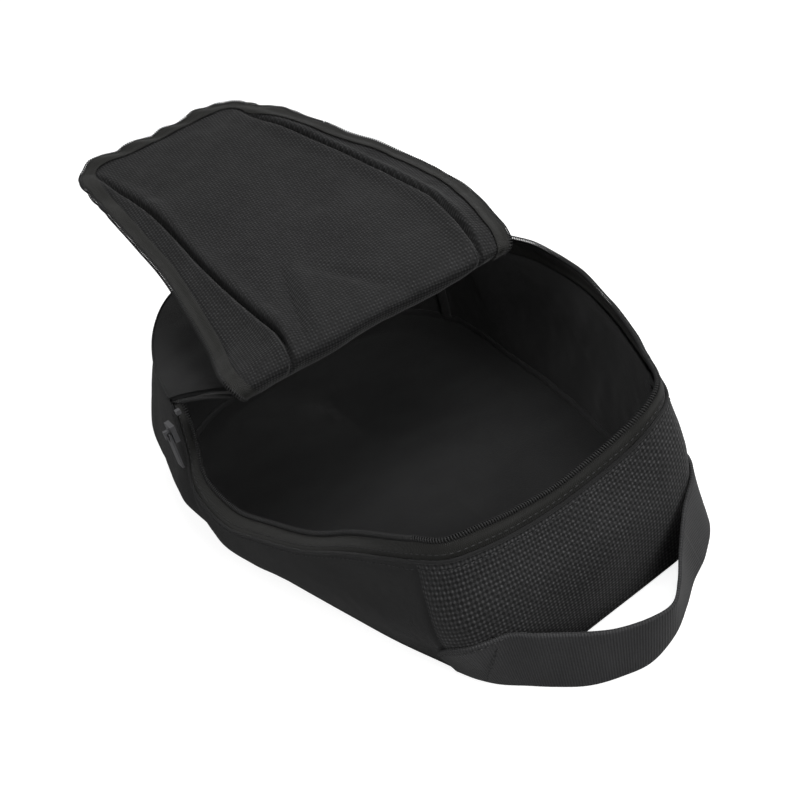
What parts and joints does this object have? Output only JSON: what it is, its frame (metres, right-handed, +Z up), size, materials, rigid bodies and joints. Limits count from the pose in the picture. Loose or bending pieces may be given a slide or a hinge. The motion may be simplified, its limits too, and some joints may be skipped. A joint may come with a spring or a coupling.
{
  "type": "shoe bag",
  "caption": "Soft zipped shoe bag, wide at the toe and narrow at the heel, with a lid that folds back over the toe and a webbing handle at the heel.",
  "frame": {"origin": "centre of the underside of the base", "axes": "+X towards the heel end with the handle, +Z up; the toe is at -X and the bag's left side at -Y"},
  "size_m": [0.4502, 0.2453, 0.201],
  "materials": {
    "plain_fabric": "matt black plain-weave polyester",
    "dobby_fabric": "matt black polyester with a fine raised dot weave",
    "lining": "matt black lining cloth",
    "zip_tape": "matt black woven zip tape",
    "zip_coil": "black nylon coil",
    "binding": "matt black seam tape",
    "board": "dark grey polyethylene sheet",
    "webbing": "black ribbed webbing",
    "slider_metal": "black lacquered zinc"
  },
  "bodies": {
    "bag": {"heel_panel": "dobby_fabric", "side_panel_left": "plain_fabric", "side_panel_right": "plain_fabric", "toe_panel": "plain_fabric", "heel_lining": "lining", "side_lining_left": "lining", "side_lining_right": "lining", "toe_lining": "lining", "base_panel": "plain_fabric", "base_board": "board", "base_lining": "lining", "base_seam_binding": "binding", "seam_tape_heel": "binding", "seam_tape_toe": "binding", "toe_top_panel": "plain_fabric", "toe_top_lining": "lining", "corner_gore_left": "plain_fabric", "corner_gore_right": "plain_fabric", "rim_zip_tape": "zip_tape", "rim_zip_coil": "zip_coil", "zip_end_stops": "slider_metal", "handle_end_left": "webbing", "handle_end_right": "webbing", "lid_fold_roll": "dobby_fabric"},
    "lid": {"lid_panel": "dobby_fabric", "lid_zip_tape": "zip_tape", "lid_zip_coil": "zip_coil", "lid_crease_tape_left": "binding", "lid_crease_tape_right": "binding"},
    "gusset_left": {"lid_gusset_left": "dobby_fabric", "gusset_zip_tape_left": "zip_tape", "gusset_zip_coil_left": "zip_coil"},
    "gusset_right": {"lid_gusset_right": "dobby_fabric", "gusset_zip_tape_right": "zip_tape", "gusset_zip_coil_right": "zip_coil"},
    "slider": {"zip_slider": "slider_metal", "slider_bridge": "slider_metal"},
    "pull": {"zip_pull": "slider_metal"},
    "handle": {"handle_strap": "webbing"}
  },
  "joints": [
    {"name": "lid_hinge", "type": "hinge", "parent": "bag", "child": "lid", "pos_m": [-0.02, 0, 0.1253], "axis": [0, 1, 0], "range_deg": [0, 163]},
    {"name": "gusset_fold_left", "type": "hinge", "parent": "lid", "child": "gusset_left", "pos_m": [-0.01617, -0.06625, 0.13783], "axis": [-0.9558, -0.0337, 0.2922], "range_deg": [0, 46]},
    {"name": "gusset_fold_right", "type": "hinge", "parent": "lid", "child": "gusset_right", "pos_m": [-0.01617, 0.06625, 0.13783], "axis": [0.9558, -0.0337, -0.2922], "range_deg": [0, 46]},
    {"name": "slider_travel", "type": "slide", "parent": "bag", "child": "slider", "axis": [0, -0.0611, -0.9981], "range_m": [0, 0.0299]},
    {"name": "pull_swing", "type": "hinge", "parent": "slider", "child": "pull", "pos_m": [-0.058, -0.12254, 0.09622], "axis": [-1, 0, 0], "range_deg": [0, 150]},
    {"name": "handle_swing", "type": "hinge", "parent": "bag", "child": "handle", "pos_m": [0.19, 0, 0.042], "axis": [0, -1, 0], "range_deg": [0, 85]}
  ],
  "couplings": [
    {"joint": "gusset_fold_left", "follows": "lid_hinge", "ratio": 0.27607},
    {"joint": "gusset_fold_right", "follows": "lid_hinge", "ratio": 0.27607}
  ]
}
